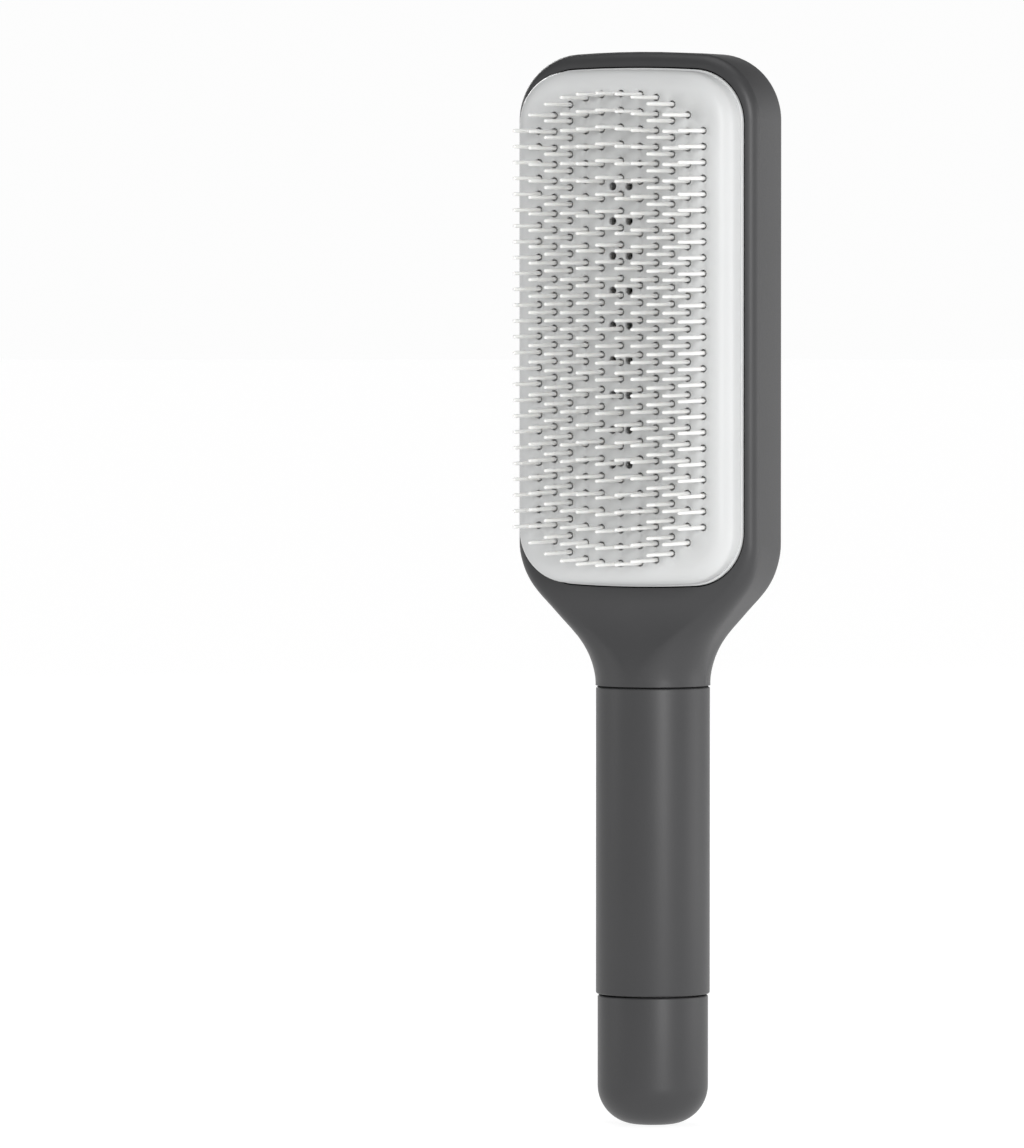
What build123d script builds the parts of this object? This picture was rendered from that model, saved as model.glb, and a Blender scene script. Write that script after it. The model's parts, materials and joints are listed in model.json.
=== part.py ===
from build123d import *
import math
import os

# A styling brush whose teeth draw back through a perforated pad, so that caught hair lifts off.
# It stands upright: Z runs along the handle from its end to the head, and X across the head.
# The teeth point towards -Y. The origin is the centre of the flat on the end of the handle.
# The end of the handle turns by half a turn. A ball in a helical groove lifts the cam slide,
# and the slide's ramps draw the tooth carrier in.

os.makedirs("parts", exist_ok=True)

# Overall
overall_length = 250.0
overrun = 1.0
half_turn = 180.0
fit = 0.1
close_fit = 0.03
seat_gap = 0.3

# Head and neck shell
head_width = 60.6
head_front = 10.8
head_back = 7.2
head_edge_radius = 3.0
head_corner_radius = 15.5
head_bow = 2.0
end_bow = 1.3
shoulder_top = 136.0
shoulder_angle = 42.0
shoulder_radius = 18.5
neck_radius = 13.35
neck_bottom = 102.55
head_wall = 1.5
cavity_half_width = 25.8
cavity_low = 128.2
cavity_high = 245.0
cavity_corner = 4.0
ledge_depth = 5.8
spigot_radius = 11.2
spigot_bore = 9.0
spigot_length = 14.55
neck_bore = 7.4
neck_bore_spare = 3.0
square_share = 0.3333
round_share = 0.985
back_growth_share = 1.5
flat_growth_share = 1.8
shoulder_steps = 10

# Back panel and its tape
panel_half_width = 28.0
panel_low = 122.8
panel_high = 247.2
panel_corner = 12.0
panel_recess = 0.9
panel_thickness = 1.6
panel_gap = 0.3
panel_edge_radius = 0.5
tape_thickness = 0.2
tape_margin = 0.8

# Pad cover
pad_half_width = 27.3
pad_low = 125.9
pad_high = 246.2
pad_corner = 12.5
pad_height = 8.4
pad_edge_radius = 4.3
lip_width = 0.4
lip_height = 0.8
pad_wall = 1.6
inner_bevel = 2.0
gasket_width = 0.35
gasket_recess = 0.3

# Teeth: the distance of each column from the middle, and the teeth in it
column_places = (0.0, 4.85, 8.85, 12.85, 16.8, 20.7)
column_counts = (29, 28, 29, 28, 27, 26)
field_low = 131.5
field_high = 240.2
field_drop = 8.6
drop_power_share = 2.6
tooth_root = 1.2
tooth_tip = 0.8
tooth_length = 14.3
hole_size = 1.6
vent_radius = 0.95
vent_place = 2.07
vent_low = 154.4
vent_pitch = 8.05
vent_count = 9

# Tooth carrier and its pins
travel = 14.5
carrier_thickness = 2.0
carrier_gap = 0.4
carrier_half_width = 22.1
carrier_margin = 2.6
carrier_corner = 7.3
carrier_vent_margin = 0.15
lug_thickness = 1.9
lug_half_height = 3.0
lug_depth = 3.2
pin_radius = 1.0
pin_places = (154.0, 184.5, 215.0)
pin_inner = 20.5
pin_outer = 25.3

# Cam slide
rail_inner = 22.5
rail_outer = 24.3
slot_half_width = 1.15
ramp_angle = 45.0
ramp_wall = 2.0
slide_back = 2.6
slide_low = 131.0
slide_high = 222.0
rail_front_margin = 2.3
rail_bevel = 4.0
bar_thickness = 2.0
low_bar_height = 5.0
high_bar_height = 4.0
tongue_width = 3.2
spine_half_width = 4.0
tail_radius = 7.0
tail_drop = 11.0
tail_length = 23.0
tail_floor = 2.5
tail_bore = 4.1

# Guide plates
guide_thickness = 1.0
guide_low = 141.0
guide_high = 231.0
guide_front = 15.0
guide_back = 2.9

# Follower ball, its screw and the tail's bush
ball_radius = 1.25
ball_rise = 3.0
screw_slot_depth = 0.6
screw_slot_width = 0.5
screw_inset = 0.2
bush_length = 10.0
bush_wall = 1.8
bush_flange = 1.8
bush_flange_radius = 10.9

# Handle
tube_radius = 13.3
tube_bore = 11.3
tube_chamfer = 0.4
seam = 0.35
ring_radius = 12.9

# Drive shaft
shaft_radius = 4.0
shaft_bottom = 14.0
shaft_end_gap = 0.7
flat_end = 1.2
flat_place = 3.0
collar_radius = 6.5
collar_height = 2.5
groove_radius = 1.45

# Plug, bush and washer in the end of the handle
plug_radius = 11.2
plug_height = 14.0
lower_bush_radius = 5.5
washer_thickness = 0.5
washer_radius = 7.5
stop_circle = 8.3
stop_groove_depth = 3.7

# Knob
knob_radius = 12.9
knob_height = 30.2
knob_end_radius = 9.2
knob_bore = 10.9
knob_floor = 5.0
hub_bottom = 6.0
hub_rise = 1.0
hub_foot_radius = 4.9
hub_foot_height = 6.5
stop_pin_depth = 5.2
stop_pin_reach = 3.3

# Knob screw
screw_radius = 1.5
screw_length = 12.5
screw_head_radius = 2.75
screw_head_height = 2.4
screw_washer_radius = 3.2
screw_seat = 10.0
key_radius = 1.2
key_depth = 1.4

# Detent
detent_radius = 1.5
detent_height = 31.9
track_radius = 1.7
dimple_radius = 1.85
pocket_radius = 1.6
pocket_depth = 11.0
spring_wire = 0.25
spring_turns = 5

# Sizes worked out from the ones above
head_half_width = head_width / 2
hub_top = knob_height + hub_rise
flat_top = hub_top - flat_end
panel_face = head_back - panel_recess
well_floor = panel_face - panel_thickness - tape_thickness
cavity_back = well_floor - head_wall
pad_face = head_front + pad_height
ledge = head_front - ledge_depth
pad_ceiling = pad_face - pad_wall
carrier_face = pad_ceiling - carrier_gap
carrier_back = carrier_face - carrier_thickness
pin_depth = carrier_back - pin_radius
tooth_reach = pad_face + tooth_length
tube_bottom = knob_height + seam
tube_top = neck_bottom - seam
plug_bottom = hub_top + seat_gap
plug_top = plug_bottom + plug_height
collar_bottom = plug_top + washer_thickness + fit
groove_pitch = travel * 2
guide_inner = rail_outer + seat_gap
spigot_bottom = neck_bottom - spigot_length
tail_bottom = spigot_bottom - tail_drop
tail_top = tail_bottom + tail_length
ball_place = tail_bottom + ball_rise
shaft_top = tail_top - tail_floor - shaft_end_gap
pin_end_depth = pin_depth - travel


def slab(outline, back, front):
    """A flat sketch of X and Z carried along Y, from depth back to depth front, both measured forwards."""
    return extrude(Plane.XZ.offset(back) * outline, amount=front - back)


def bowed_outline(half_width, low, high, corner):
    """Straight sides, ends bowed outwards, and rounded corners, as a sketch of X and Z."""
    foot = low + end_bow
    head = high - end_bow
    edges = ThreePointArc((-half_width, foot), (0, low), (half_width, foot))
    edges += Line((half_width, foot), (half_width, head))
    edges += ThreePointArc((half_width, head), (0, high), (-half_width, head))
    edges += Line((-half_width, head), (-half_width, foot))
    face = make_face(edges)
    return fillet(face.vertices(), corner)


def grown_outline(half_width, low, high, corner, by):
    """The bowed outline moved outwards by one distance all round."""
    return bowed_outline(half_width + by, low - by, high + by, corner + by)


def pad_outline(by):
    """The pad's outline, moved outwards by one distance."""
    return grown_outline(pad_half_width, pad_low, pad_high, pad_corner, by)


def face_edges(solid, depth):
    """The edges of a solid that lie at one depth, measured forwards."""
    return [e for e in solid.edges() if abs(e.bounding_box().min.Y + depth) + abs(
        e.bounding_box().max.Y + depth) < close_fit]


def tube(outer, inner, low, high):
    """A round tube along Z."""
    wall = Circle(outer) - Circle(inner)
    return extrude(Plane.XY.offset(low) * wall, amount=high - low)


def rod(radius, low, high):
    """A round rod along Z."""
    return extrude(Plane.XY.offset(low) * Circle(radius), amount=high - low)


def block(x_low, x_high, y_low, y_high, z_low, z_high):
    """A box between two corners."""
    size = Box(x_high - x_low, y_high - y_low, z_high - z_low, align=(Align.MIN,) * 3)
    return Pos(x_low, y_low, z_low) * size


def cross_rod(radius, x_low, x_high, y, z):
    """A round rod along X."""
    plane = Plane((x_low, y, z), x_dir=(0, 1, 0), z_dir=(1, 0, 0))
    return extrude(plane * Circle(radius), amount=x_high - x_low)


def smooth(share):
    """A value from 0 to 1 that starts and ends level."""
    return share * share * (3 - 2 * share)


def shoulder_width(z):
    """Half the shell's width in the shoulder: an arc inwards, a straight run, and an arc back."""
    turn = math.radians(shoulder_angle)
    arc_in = shoulder_radius * (1 - math.cos(turn))
    arc_down = shoulder_radius * math.sin(turn)
    run_in = head_half_width - neck_radius - 2 * arc_in
    run_down = run_in / math.tan(turn)
    drop = shoulder_top - z
    full_drop = 2 * arc_down + run_down
    if drop < arc_down:
        return head_half_width - shoulder_radius + math.sqrt(shoulder_radius**2 - drop**2)
    if drop < arc_down + run_down:
        return head_half_width - arc_in - (drop - arc_down) * math.tan(turn)
    if drop < full_drop:
        left = full_drop - drop
        return neck_radius + shoulder_radius - math.sqrt(shoulder_radius**2 - left**2)
    return neck_radius


def shoulder():
    """The shell from the neck's round end up to the head's flat block."""
    height = shoulder_top - neck_bottom
    sections = []
    for step in range(shoulder_steps + 1):
        share = step / shoulder_steps
        z = neck_bottom + height * share
        flat = smooth(min(1, flat_growth_share * share))
        front = neck_radius + (head_front - neck_radius) * flat
        back = neck_radius + (head_back - neck_radius) * flat
        half = shoulder_width(z)
        deep = (front + back) / 2
        section = Rectangle(2 * half, 2 * deep)
        for edge, growth in ((-deep, share), (deep, min(1, back_growth_share * share))):
            corner_share = round_share + (square_share - round_share) * smooth(growth)
            corners = section.vertices().filter_by_position(
                Axis.Y, edge - close_fit, edge + close_fit)
            section = fillet(corners, corner_share * min(half, deep))
        sections.append(Plane.XY.offset(z) * Pos(0, (back - front) / 2) * section)
    return loft(sections)


def head_block():
    """The head above the shoulder, with its edges rounded."""
    foot = shoulder_top
    head = overall_length - head_bow
    edges = Line((-head_half_width, foot), (head_half_width, foot))
    edges += Line((head_half_width, foot), (head_half_width, head))
    edges += ThreePointArc((head_half_width, head), (0, overall_length), (-head_half_width, head))
    edges += Line((-head_half_width, head), (-head_half_width, foot))
    face = make_face(edges)
    face = fillet(face.vertices().sort_by(Axis.Y)[2:], head_corner_radius)
    solid = slab(face, -head_back, head_front)
    rim = face_edges(solid, head_front) + face_edges(solid, -head_back)
    rim = [e for e in rim if e.center().Z > foot + close_fit]
    return fillet(rim, square_share * (head_front + head_back) / 2)


def housing():
    """The head and neck shell: recess and ledge for the pad, cavity, panel well and spigot."""
    shell = head_block() + shoulder() + rod(spigot_radius, spigot_bottom, neck_bottom + overrun)
    shell -= slab(pad_outline(gasket_width), ledge, pad_face)
    cavity = bowed_outline(cavity_half_width, cavity_low, cavity_high, cavity_corner)
    shell -= slab(cavity, -cavity_back, ledge + overrun)
    well = grown_outline(panel_half_width, panel_low, panel_high, panel_corner, panel_gap)
    shell -= slab(well, -head_back - overrun, -well_floor)
    shell -= rod(spigot_bore, spigot_bottom - overrun, spigot_bottom + bush_length)
    shell -= rod(neck_bore, spigot_bottom, tail_top + travel + neck_bore_spare)
    side = spine_half_width + seat_gap
    front = slide_back - bar_thickness - seat_gap
    low = tail_top + travel
    return shell - block(-side, side, front, cavity_back, low, cavity_low + 2 * overrun)


def back_panel():
    """The glossy cover of the head's back."""
    outline = bowed_outline(panel_half_width, panel_low, panel_high, panel_corner)
    solid = slab(outline, -panel_face, -panel_face + panel_thickness)
    return fillet(face_edges(solid, -panel_face), panel_edge_radius)


def panel_tape():
    """The adhesive sheet under the back panel."""
    outline = grown_outline(panel_half_width, panel_low, panel_high, panel_corner, -tape_margin)
    return slab(outline, -well_floor - tape_thickness, -well_floor)


def tooth_places():
    """Each tooth's place in X and Z. The columns' ends follow the pad's arched ends."""
    places = []
    middle = (field_low + field_high) / 2
    for column, count in zip(column_places, column_counts):
        drop = field_drop * (column / column_places[-1]) ** drop_power_share
        half = (field_high - field_low) / 2 - drop
        for row in range(count):
            z = middle + half * (2 * row / (count - 1) - 1)
            places += [(x, z) for x in {column, -column}]
    return places


def vent_places():
    """Each vent's place in X and Z: pairs along the middle line."""
    heights = [vent_low + vent_pitch * row for row in range(vent_count)]
    return [(x, z) for z in heights for x in (-vent_place, vent_place)]


def pad_cover():
    """The white pad: a dished cover with a lip, a hole for each tooth and vents along the middle."""
    solid = slab(pad_outline(-lip_width), ledge, pad_face)
    solid = fillet(face_edges(solid, pad_face), pad_edge_radius)
    solid += slab(pad_outline(0), ledge, head_front + lip_height)
    hollow = slab(pad_outline(-pad_wall), ledge - overrun, pad_ceiling)
    solid -= chamfer(face_edges(hollow, pad_ceiling), inner_bevel)
    hole = slab(Rectangle(hole_size, hole_size), pad_ceiling - overrun, pad_face + overrun)
    vent = slab(Circle(vent_radius), pad_ceiling - overrun, pad_face + overrun)
    cuts = [Pos(x, 0, z) * hole for x, z in tooth_places()]
    cuts += [Pos(x, 0, z) * vent for x, z in vent_places()]
    return solid - cuts


def pad_gasket():
    """The thin dark seal between the pad and the shell."""
    ring = pad_outline(gasket_width - close_fit) - pad_outline(close_fit)
    return slab(ring, ledge, head_front - gasket_recess)


def tooth():
    """One tooth: four-sided, and thinner at its tip."""
    root = Plane.XZ.offset(carrier_face - carrier_thickness / 2) * Rectangle(tooth_root, tooth_root)
    tip = Plane.XZ.offset(tooth_reach) * Rectangle(tooth_tip, tooth_tip)
    return loft([root, tip])


def tooth_carrier():
    """The plate that carries the teeth: an opening behind each vent, and a lug for each pin."""
    low = field_low - carrier_margin + carrier_thickness / 2
    high = field_high + carrier_margin - carrier_thickness / 2
    outline = bowed_outline(carrier_half_width, low, high, carrier_corner)
    plate = slab(outline, carrier_back, carrier_face)
    side = 2 * (vent_radius + carrier_vent_margin)
    opening = slab(Rectangle(side, side), carrier_back - overrun, carrier_face + overrun)
    plate -= [Pos(x, 0, z) * opening for x, z in vent_places()]
    inner = carrier_half_width - lug_thickness
    for z in pin_places:
        for low_x, high_x in ((-carrier_half_width, -inner), (inner, carrier_half_width)):
            front = -carrier_back - close_fit
            back = -carrier_back + lug_depth
            plate += block(low_x, high_x, front, back, z - lug_half_height, z + lug_half_height)
    for z in pin_places:
        reach = carrier_half_width + overrun
        bore = cross_rod(pin_radius + close_fit, pin_inner, reach, -pin_depth, z)
        plate -= bore
        plate -= mirror(bore, Plane.YZ)
    strand = tooth()
    return plate + [Pos(x, 0, z) * strand for x, z in tooth_places()]


def follower_pins():
    """Six pins that pass from the carrier's lugs through the ramps into the guide plates."""
    pins = []
    for z in pin_places:
        pin = cross_rod(pin_radius, pin_inner, pin_outer, -pin_depth, z)
        pins += [pin, mirror(pin, Plane.YZ)]
    return Compound([s for pin in pins for s in pin.solids()])


def ramp_slot(z):
    """The sloping slot that one pin runs in, as a sketch of Y and Z."""
    start = Vector(-pin_depth, z)
    end = Vector(-pin_end_depth, z - travel / math.tan(math.radians(ramp_angle)))
    middle = (start + end) / 2
    length = (end - start).length
    slope = math.degrees(math.atan2(end.Y - start.Y, end.X - start.X))
    return Pos(middle.X, middle.Y) * Rot(0, 0, slope) * SlotCenterToCenter(length, 2 * slot_half_width)


def rail_sketch():
    """One side of the cam slide, as a sketch of Y and Z, with a ramp slot for each pin."""
    front = -pin_depth - rail_front_margin
    low_pin = pin_places[0]
    wall = (slot_half_width + ramp_wall) / math.sin(math.radians(ramp_angle))
    ramp_sum = low_pin - pin_depth - wall
    tongue = slide_back - tongue_width
    points = [
        (slide_back, slide_low),
        (slide_back, slide_high),
        (front + rail_bevel, slide_high),
        (front, slide_high - rail_bevel),
        (front, ramp_sum - front),
        (tongue, ramp_sum - tongue),
        (tongue, slide_low),
    ]
    plate = make_face(Polyline(*points, close=True))
    for z in pin_places:
        plate -= ramp_slot(z)
    return plate


def cam_slide():
    """The frame that the shaft lifts: two ramp plates, two bars, a spine and a hollow tail."""
    rail = extrude(Plane.YZ.offset(rail_inner) * rail_sketch(), amount=rail_outer - rail_inner)
    front = slide_back - bar_thickness
    reach = rail_inner + close_fit
    body = rail + mirror(rail, Plane.YZ)
    body += block(-reach, reach, front, slide_back, slide_low, slide_low + low_bar_height)
    body += block(-reach, reach, front, slide_back, slide_high - high_bar_height, slide_high)
    body += rod(tail_radius, tail_bottom, tail_top)
    body += block(-spine_half_width, spine_half_width, front, slide_back,
                  tail_top - tail_floor, slide_low + low_bar_height)
    body -= rod(tail_bore, tail_bottom - overrun, tail_top - tail_floor)
    return body - cross_rod(ball_radius + close_fit, 0, tail_radius + overrun, 0, ball_place)


def guide_plate():
    """The right-hand guide plate, whose straight slots let the pins move only in and out."""
    plate = block(guide_inner, guide_inner + guide_thickness, -guide_front, guide_back,
                  guide_low, guide_high)
    for z in pin_places:
        end = -pin_end_depth
        plate -= block(guide_inner - overrun, guide_inner + guide_thickness + overrun,
                       -guide_front - overrun, end, z - slot_half_width, z + slot_half_width)
        plate -= cross_rod(slot_half_width, guide_inner - overrun,
                           guide_inner + guide_thickness + overrun, end, z)
    return plate


def follower_ball():
    """The ball that runs in the shaft's helical groove."""
    return Pos(shaft_radius, 0, ball_place) * Sphere(ball_radius)


def ball_screw():
    """The slotted screw that backs the follower ball."""
    inner = shaft_radius + ball_radius + fit
    outer = tail_radius - screw_inset
    body = cross_rod(ball_radius, inner, outer, 0, ball_place)
    half = screw_slot_width / 2
    return body - block(outer - screw_slot_depth, outer + overrun, -ball_radius, ball_radius,
                        ball_place - half, ball_place + half)


def tail_bush():
    """The flanged bearing that the slide's tail runs in."""
    bore = tail_radius + fit
    sleeve = tube(bore + bush_wall, bore, spigot_bottom, spigot_bottom + bush_length)
    return sleeve + tube(bush_flange_radius, bore, spigot_bottom - bush_flange, spigot_bottom)


def handle_tube():
    """The round handle."""
    body = tube(tube_radius, tube_bore, tube_bottom, tube_top)
    rims = [e for e in body.edges().filter_by(GeomType.CIRCLE) if e.radius > tube_bore + overrun]
    return chamfer(rims, tube_chamfer)


def neck_ring():
    """The dark ring in the seam between head and handle."""
    return tube(ring_radius, tube_bore, tube_top, neck_bottom)


def helical_groove():
    """The cut that the follower ball runs in, open at the shaft's top."""
    height = shaft_top + overrun - ball_place
    line = Helix(groove_pitch, height, shaft_radius, lefthand=True)
    line = Pos(0, 0, ball_place) * line
    section = Plane(line @ 0, z_dir=line % 0) * Circle(groove_radius)
    run = sweep(section, path=line, is_frenet=True)
    return [run, Pos(shaft_radius, 0, ball_place) * Sphere(groove_radius)]


def drive_shaft():
    """The shaft that the knob turns: a flat, a collar, a tapped end and the helical groove."""
    body = rod(shaft_radius, shaft_bottom, shaft_top)
    body += rod(collar_radius, collar_bottom, collar_bottom + collar_height)
    body -= block(flat_place, shaft_radius + overrun, -shaft_radius, shaft_radius,
                  shaft_bottom - overrun, flat_top)
    depth = screw_seat - washer_thickness + screw_length
    body -= rod(screw_radius + close_fit, shaft_bottom - overrun, depth + overrun)
    return body - helical_groove()


def end_plug():
    """The plug in the handle's end: bore, pocket for the detent ball and groove for the stop pin."""
    body = tube(plug_radius, lower_bush_radius, plug_bottom, plug_top)
    body -= Pos(stop_circle, 0, 0) * rod(pocket_radius, plug_bottom - overrun,
                                         plug_bottom + pocket_depth)
    half = pin_radius + seat_gap
    extra = math.degrees((half + fit) / stop_circle)
    profile = Pos(stop_circle, plug_bottom) * Rectangle(2 * half, 2 * stop_groove_depth)
    sweep_angle = half_turn + 2 * extra
    groove = revolve(Plane.XZ * profile, axis=Axis.Z, revolution_arc=sweep_angle)
    return body - Rot(0, 0, half_turn / 2 - extra) * groove


def lower_bush():
    """The bearing of the shaft in the plug."""
    return tube(lower_bush_radius, shaft_radius + fit / 2, plug_bottom, plug_top)


def thrust_washer():
    """The washer under the shaft's collar."""
    return tube(washer_radius, shaft_radius + 2 * fit, plug_top, plug_top + washer_thickness)


def detent_ball():
    """The ball that clicks at each end of the knob's turn."""
    return Pos(stop_circle, 0, detent_height) * Sphere(detent_radius)


def detent_spring():
    """The spring over the detent ball."""
    radius = pocket_radius - spring_wire - fit
    low = detent_height + detent_radius + spring_wire
    high = plug_bottom + pocket_depth - spring_wire
    line = Pos(stop_circle, 0, low) * Helix((high - low) / spring_turns, high - low, radius)
    section = Plane(line @ 0, z_dir=line % 0) * Rectangle(2 * spring_wire, 2 * spring_wire)
    return sweep(section, path=line, is_frenet=True)


def knob_shell():
    """The turning end of the handle: a cup with a broad rounded end."""
    wall = knob_radius - knob_bore
    outside = rod(knob_radius, 0, knob_height)
    outside = fillet(outside.edges().sort_by(Axis.Z)[0], knob_end_radius)
    inside = rod(knob_bore, knob_floor, knob_height + overrun)
    inside = fillet(inside.edges().sort_by(Axis.Z)[0], knob_end_radius - wall)
    body = outside - inside
    rims = [e for e in body.edges().filter_by(GeomType.CIRCLE)
            if abs(e.center().Z - knob_height) < close_fit and e.radius > knob_bore + fit]
    return chamfer(rims, tube_chamfer)


def knob_hub():
    """The core of the knob: bore with a flat, screw seat, detent track and hole for the stop pin."""
    radius = knob_bore - fit
    points = [
        (0, hub_bottom),
        (hub_foot_radius, hub_bottom),
        (radius, hub_bottom + hub_foot_height),
        (radius, hub_top),
        (0, hub_top),
    ]
    body = revolve(Plane.XZ * make_face(Polyline(*points, close=True)), axis=Axis.Z)
    bore = rod(shaft_radius + fit / 2, shaft_bottom, hub_top + overrun)
    bore -= block(flat_place + fit / 2, shaft_radius + overrun, -shaft_radius, shaft_radius,
                  shaft_bottom - overrun, flat_top)
    body -= bore
    body -= rod(screw_radius + fit, screw_seat - overrun, shaft_bottom + overrun)
    body -= rod(screw_washer_radius + fit, hub_bottom - overrun, screw_seat)
    body -= Pos(0, stop_circle, 0) * rod(pin_radius + close_fit, hub_top - stop_pin_depth,
                                         hub_top + overrun)
    section = Plane.XZ * Pos(stop_circle, detent_height) * Circle(track_radius)
    track = revolve(section, axis=Axis.Z, revolution_arc=half_turn)
    body -= Rot(0, 0, half_turn) * track
    for x in (-stop_circle, stop_circle):
        body -= Pos(x, 0, detent_height) * Sphere(dimple_radius)
    return body


def stop_pin():
    """The pin on the hub that ends the knob's turn."""
    return Pos(0, stop_circle, 0) * rod(pin_radius, hub_top - stop_pin_depth,
                                        hub_top + stop_pin_reach)


def knob_screw():
    """The socket-head screw that holds the knob's hub on the shaft."""
    under_head = screw_seat - washer_thickness
    body = rod(screw_head_radius, under_head - screw_head_height, under_head)
    body += rod(screw_radius, under_head, under_head + screw_length)
    low = under_head - screw_head_height
    key = Plane.XY.offset(low - overrun) * RegularPolygon(key_radius, 6)
    return body - extrude(key, amount=key_depth + overrun)


def knob_screw_washer():
    """The washer under the knob screw's head."""
    return tube(screw_washer_radius, screw_radius + fit, screw_seat - washer_thickness, screw_seat)


pieces = {
    "housing": housing,
    "back_panel": back_panel,
    "panel_tape": panel_tape,
    "pad_cover": pad_cover,
    "pad_gasket": pad_gasket,
    "tooth_carrier": tooth_carrier,
    "follower_pins": follower_pins,
    "cam_slide": cam_slide,
    "guide_plate_right": guide_plate,
    "guide_plate_left": lambda: mirror(guide_plate(), Plane.YZ),
    "follower_ball": follower_ball,
    "ball_screw": ball_screw,
    "tail_bush": tail_bush,
    "handle_tube": handle_tube,
    "neck_ring": neck_ring,
    "drive_shaft": drive_shaft,
    "end_plug": end_plug,
    "lower_bush": lower_bush,
    "thrust_washer": thrust_washer,
    "detent_ball": detent_ball,
    "detent_spring": detent_spring,
    "knob_shell": knob_shell,
    "knob_hub": knob_hub,
    "stop_pin": stop_pin,
    "knob_screw": knob_screw,
    "knob_screw_washer": knob_screw_washer,
}

for name, make in pieces.items():
    export_step(make(), f"parts/{name}.step")
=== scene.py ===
import json
import math

import bmesh
import bpy
import numpy as np
from bpy.props import FloatProperty, FloatVectorProperty, IntProperty, PointerProperty
from bpy.types import Operator, Panel, PropertyGroup
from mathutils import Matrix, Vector
from mathutils.geometry import delaunay_2d_cdt


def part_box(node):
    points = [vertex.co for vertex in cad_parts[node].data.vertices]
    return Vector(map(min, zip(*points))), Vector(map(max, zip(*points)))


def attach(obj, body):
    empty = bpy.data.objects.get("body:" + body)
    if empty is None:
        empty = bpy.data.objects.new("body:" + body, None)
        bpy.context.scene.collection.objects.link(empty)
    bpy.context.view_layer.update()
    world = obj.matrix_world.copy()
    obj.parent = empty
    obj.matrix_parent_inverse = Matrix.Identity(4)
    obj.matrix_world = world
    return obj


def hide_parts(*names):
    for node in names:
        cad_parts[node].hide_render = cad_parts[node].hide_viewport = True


bl_info = {
    "name": "Retracting styling brush",
    "version": (1, 0, 0),
    "blender": (4, 5, 0),
    "location": "View3D > Sidebar > Brush",
    "description": "Dresses a styling brush whose teeth draw back through a perforated pad",
    "category": "Object",
}

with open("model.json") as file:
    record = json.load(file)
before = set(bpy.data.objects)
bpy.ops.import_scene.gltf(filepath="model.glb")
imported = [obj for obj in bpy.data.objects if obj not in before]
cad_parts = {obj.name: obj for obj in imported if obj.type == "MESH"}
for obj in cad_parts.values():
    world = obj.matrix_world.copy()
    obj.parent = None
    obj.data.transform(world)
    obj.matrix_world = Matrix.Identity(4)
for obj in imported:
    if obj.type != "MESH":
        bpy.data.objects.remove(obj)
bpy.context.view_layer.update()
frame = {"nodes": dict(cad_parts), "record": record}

MM = 0.001
FULL_TURN = 2 * math.pi

# Steps round the handle, and along the arcs of the profiles, from the broadest to the finest.
ROUND_STEPS = 160
KNOB_STEPS = 28
PAD_STEPS = 18
INNER_STEPS = 16
BEND_STEPS = 10
EDGE_STEPS = 7
FINE_STEPS = 5

# Points nearer than this are one point, in a finished piece and in a plate's triangulation.
MERGE_DISTANCE = 0.002 * MM
FLAT_TOLERANCE = 1e-7

# What tells the frame's teeth and pins apart: the depth of the layer that holds the teeth's tips,
# and the least space between the corners of two teeth, and of two pins.
TIP_LAYER = 0.01 * MM
TOOTH_SPACE = 1.6 * MM
PIN_SPACE = 5 * MM

# The mix node's sockets go by number, because its colours share their names with other sockets.
MIX_FACTOR, MIX_DARK, MIX_LIGHT, MIX_RESULT = 0, 6, 7, 2

# Noise lies mostly between these two values.
NOISE_LOW, NOISE_HIGH = 0.3, 0.7

# How far the grit of a plastic and the tool's lines on a metal move its roughness and its colour, as
# factors, and how strongly they raise its bump.
GRIT_SPREAD, GRIT_BUMP = (0.92, 1.08), 0.6
LINE_SPREAD, LINE_SHADES, LINE_BUMP = (0.8, 1.25), (0.94, 1.05), 0.4

# Plastics: the width of a moulding's flow marks, how far red, green and blue light reach into a
# white one, the IOR that most of them have, and the roughness of a polished face.
FLOW_MARK = 22 * MM
LIGHT_REACH = (1.2 * MM, 1.1 * MM, 1.0 * MM)
PLASTIC_IOR = 1.5
POLISHED_ROUGHNESS = 0.04

FLOOR_RADIUS = 12.0
FLOOR_SIDES = 96
SENSOR_MM = 36
FAR_CLIP = 100

# The surround darkens between these two heights of a view direction: 0 is level and 1 straight up.
DIM_FROM, DIM_TO = 0.1, 0.45

# Softboxes: name, place and target in metres, width and height in metres, and power in watts.
MIDDLE = (0, 0, 0.125)
SOFTBOXES = (
    ("key_softbox", (1.6, -1.65, 0.7), MIDDLE, (0.5, 1.3), 38),
    ("fill_softbox", (-1.8, -1.0, 0.6), MIDDLE, (0.5, 0.8), 5),
    ("back_softbox", (-1.3, 1.5, 0.9), MIDDLE, (0.6, 0.9), 10),
    ("gloss_softbox", (0.324, 0.149, 0.115), (0.02, 0, 0.145), (0.22, 0.36), 0.45),
)


def linear(hex_colour):
    """An sRGB hex colour as linear red, green and blue."""
    parts = np.array([int(hex_colour[i:i + 2], 16) for i in (0, 2, 4)]) / 255
    low = parts / 12.92
    high = ((parts + 0.055) / 1.055) ** 2.4
    return tuple(np.where(parts <= 0.04045, low, high).tolist())


def length(name, text, millimetres):
    """A length that the user may change, given here in millimetres."""
    return FloatProperty(name=name, description=text, default=millimetres * MM, min=0, unit="LENGTH",
                         precision=5)


def colour(name, text, hex_colour):
    """A colour that the user may change, given here as sRGB hex."""
    return FloatVectorProperty(name=name, description=text, default=linear(hex_colour), size=3,
                               subtype="COLOR", min=0, max=1)


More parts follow.
